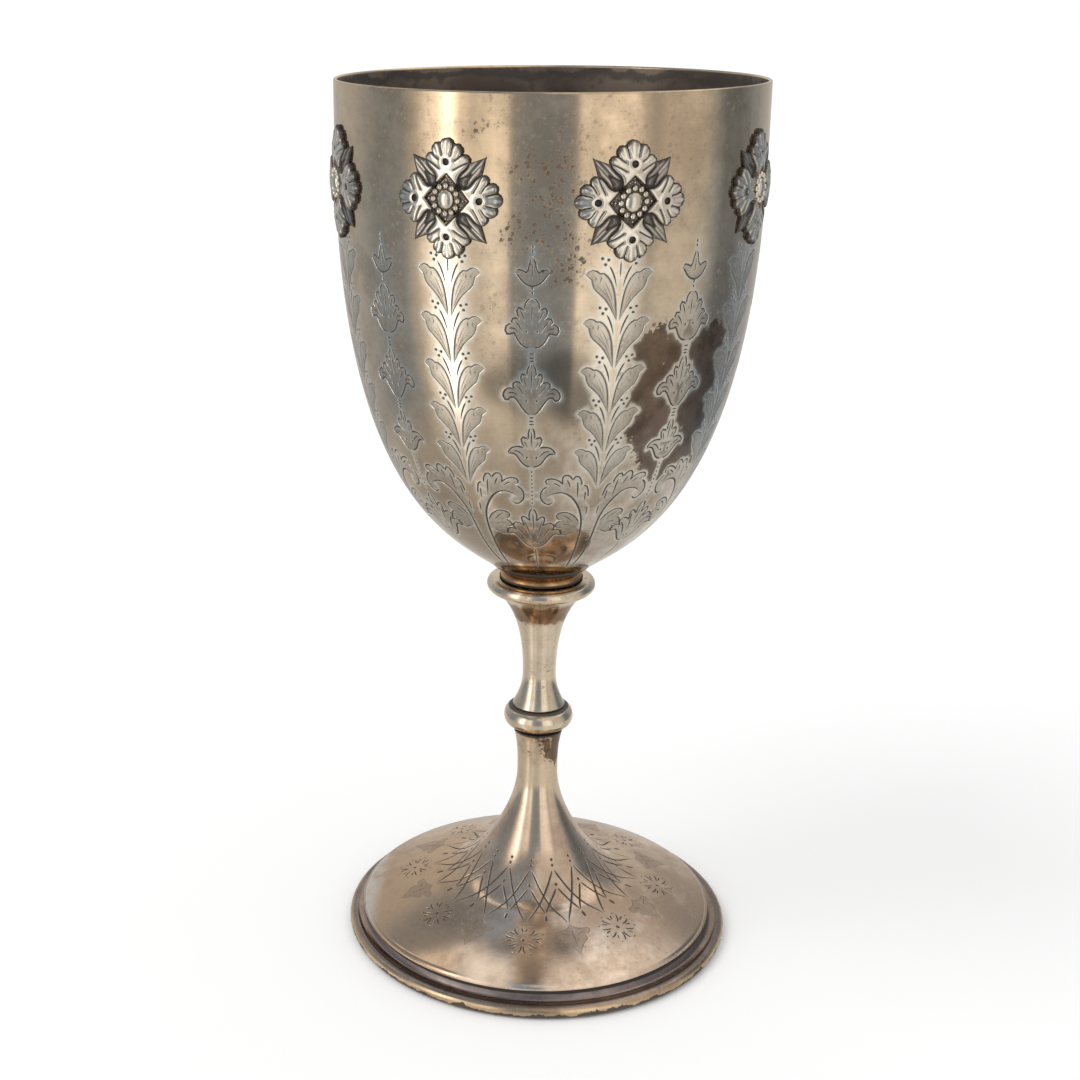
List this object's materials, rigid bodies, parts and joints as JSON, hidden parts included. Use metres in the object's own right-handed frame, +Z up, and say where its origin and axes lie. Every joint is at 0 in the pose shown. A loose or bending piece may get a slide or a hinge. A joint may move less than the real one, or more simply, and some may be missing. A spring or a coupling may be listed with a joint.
{
  "type": "footed goblet",
  "caption": "Silver goblet: deep bowl with a band of raised rosettes, waisted stem with a ring knop, and a domed foot on a moulded rim.",
  "frame": {"origin": "centre of the ring that the goblet stands on, on the standing surface", "axes": "+Z up the axis of the stem and bowl; -Y is the front, a panel between two rosettes"},
  "size_m": [0.0826, 0.0826, 0.1788],
  "materials": {
    "bowl_silver": "worn polished silver, warm brown toning, hand engraved",
    "collar_gilt": "silver with a worn golden tone",
    "stem_silver": "worn polished silver with copper-brown specks",
    "foot_silver": "worn polished silver with pinkish brown toning, hand engraved",
    "rim_silver": "tarnished silver, purple grey in the hollow and golden on the bead",
    "rosette_silver": "bright worn silver on the raised leaves, oxidised dark in the hollows"
  },
  "bodies": {
    "root": {"bowl": "bowl_silver", "bowl_collar": "collar_gilt", "stem_upper": "stem_silver", "knop": "stem_silver", "foot": "foot_silver", "foot_rim": "rim_silver", "rosette_1": "rosette_silver", "rosette_2": "rosette_silver", "rosette_3": "rosette_silver", "rosette_4": "rosette_silver", "rosette_5": "rosette_silver", "rosette_6": "rosette_silver", "rosette_7": "rosette_silver", "rosette_8": "rosette_silver"}
  },
  "joints": []
}
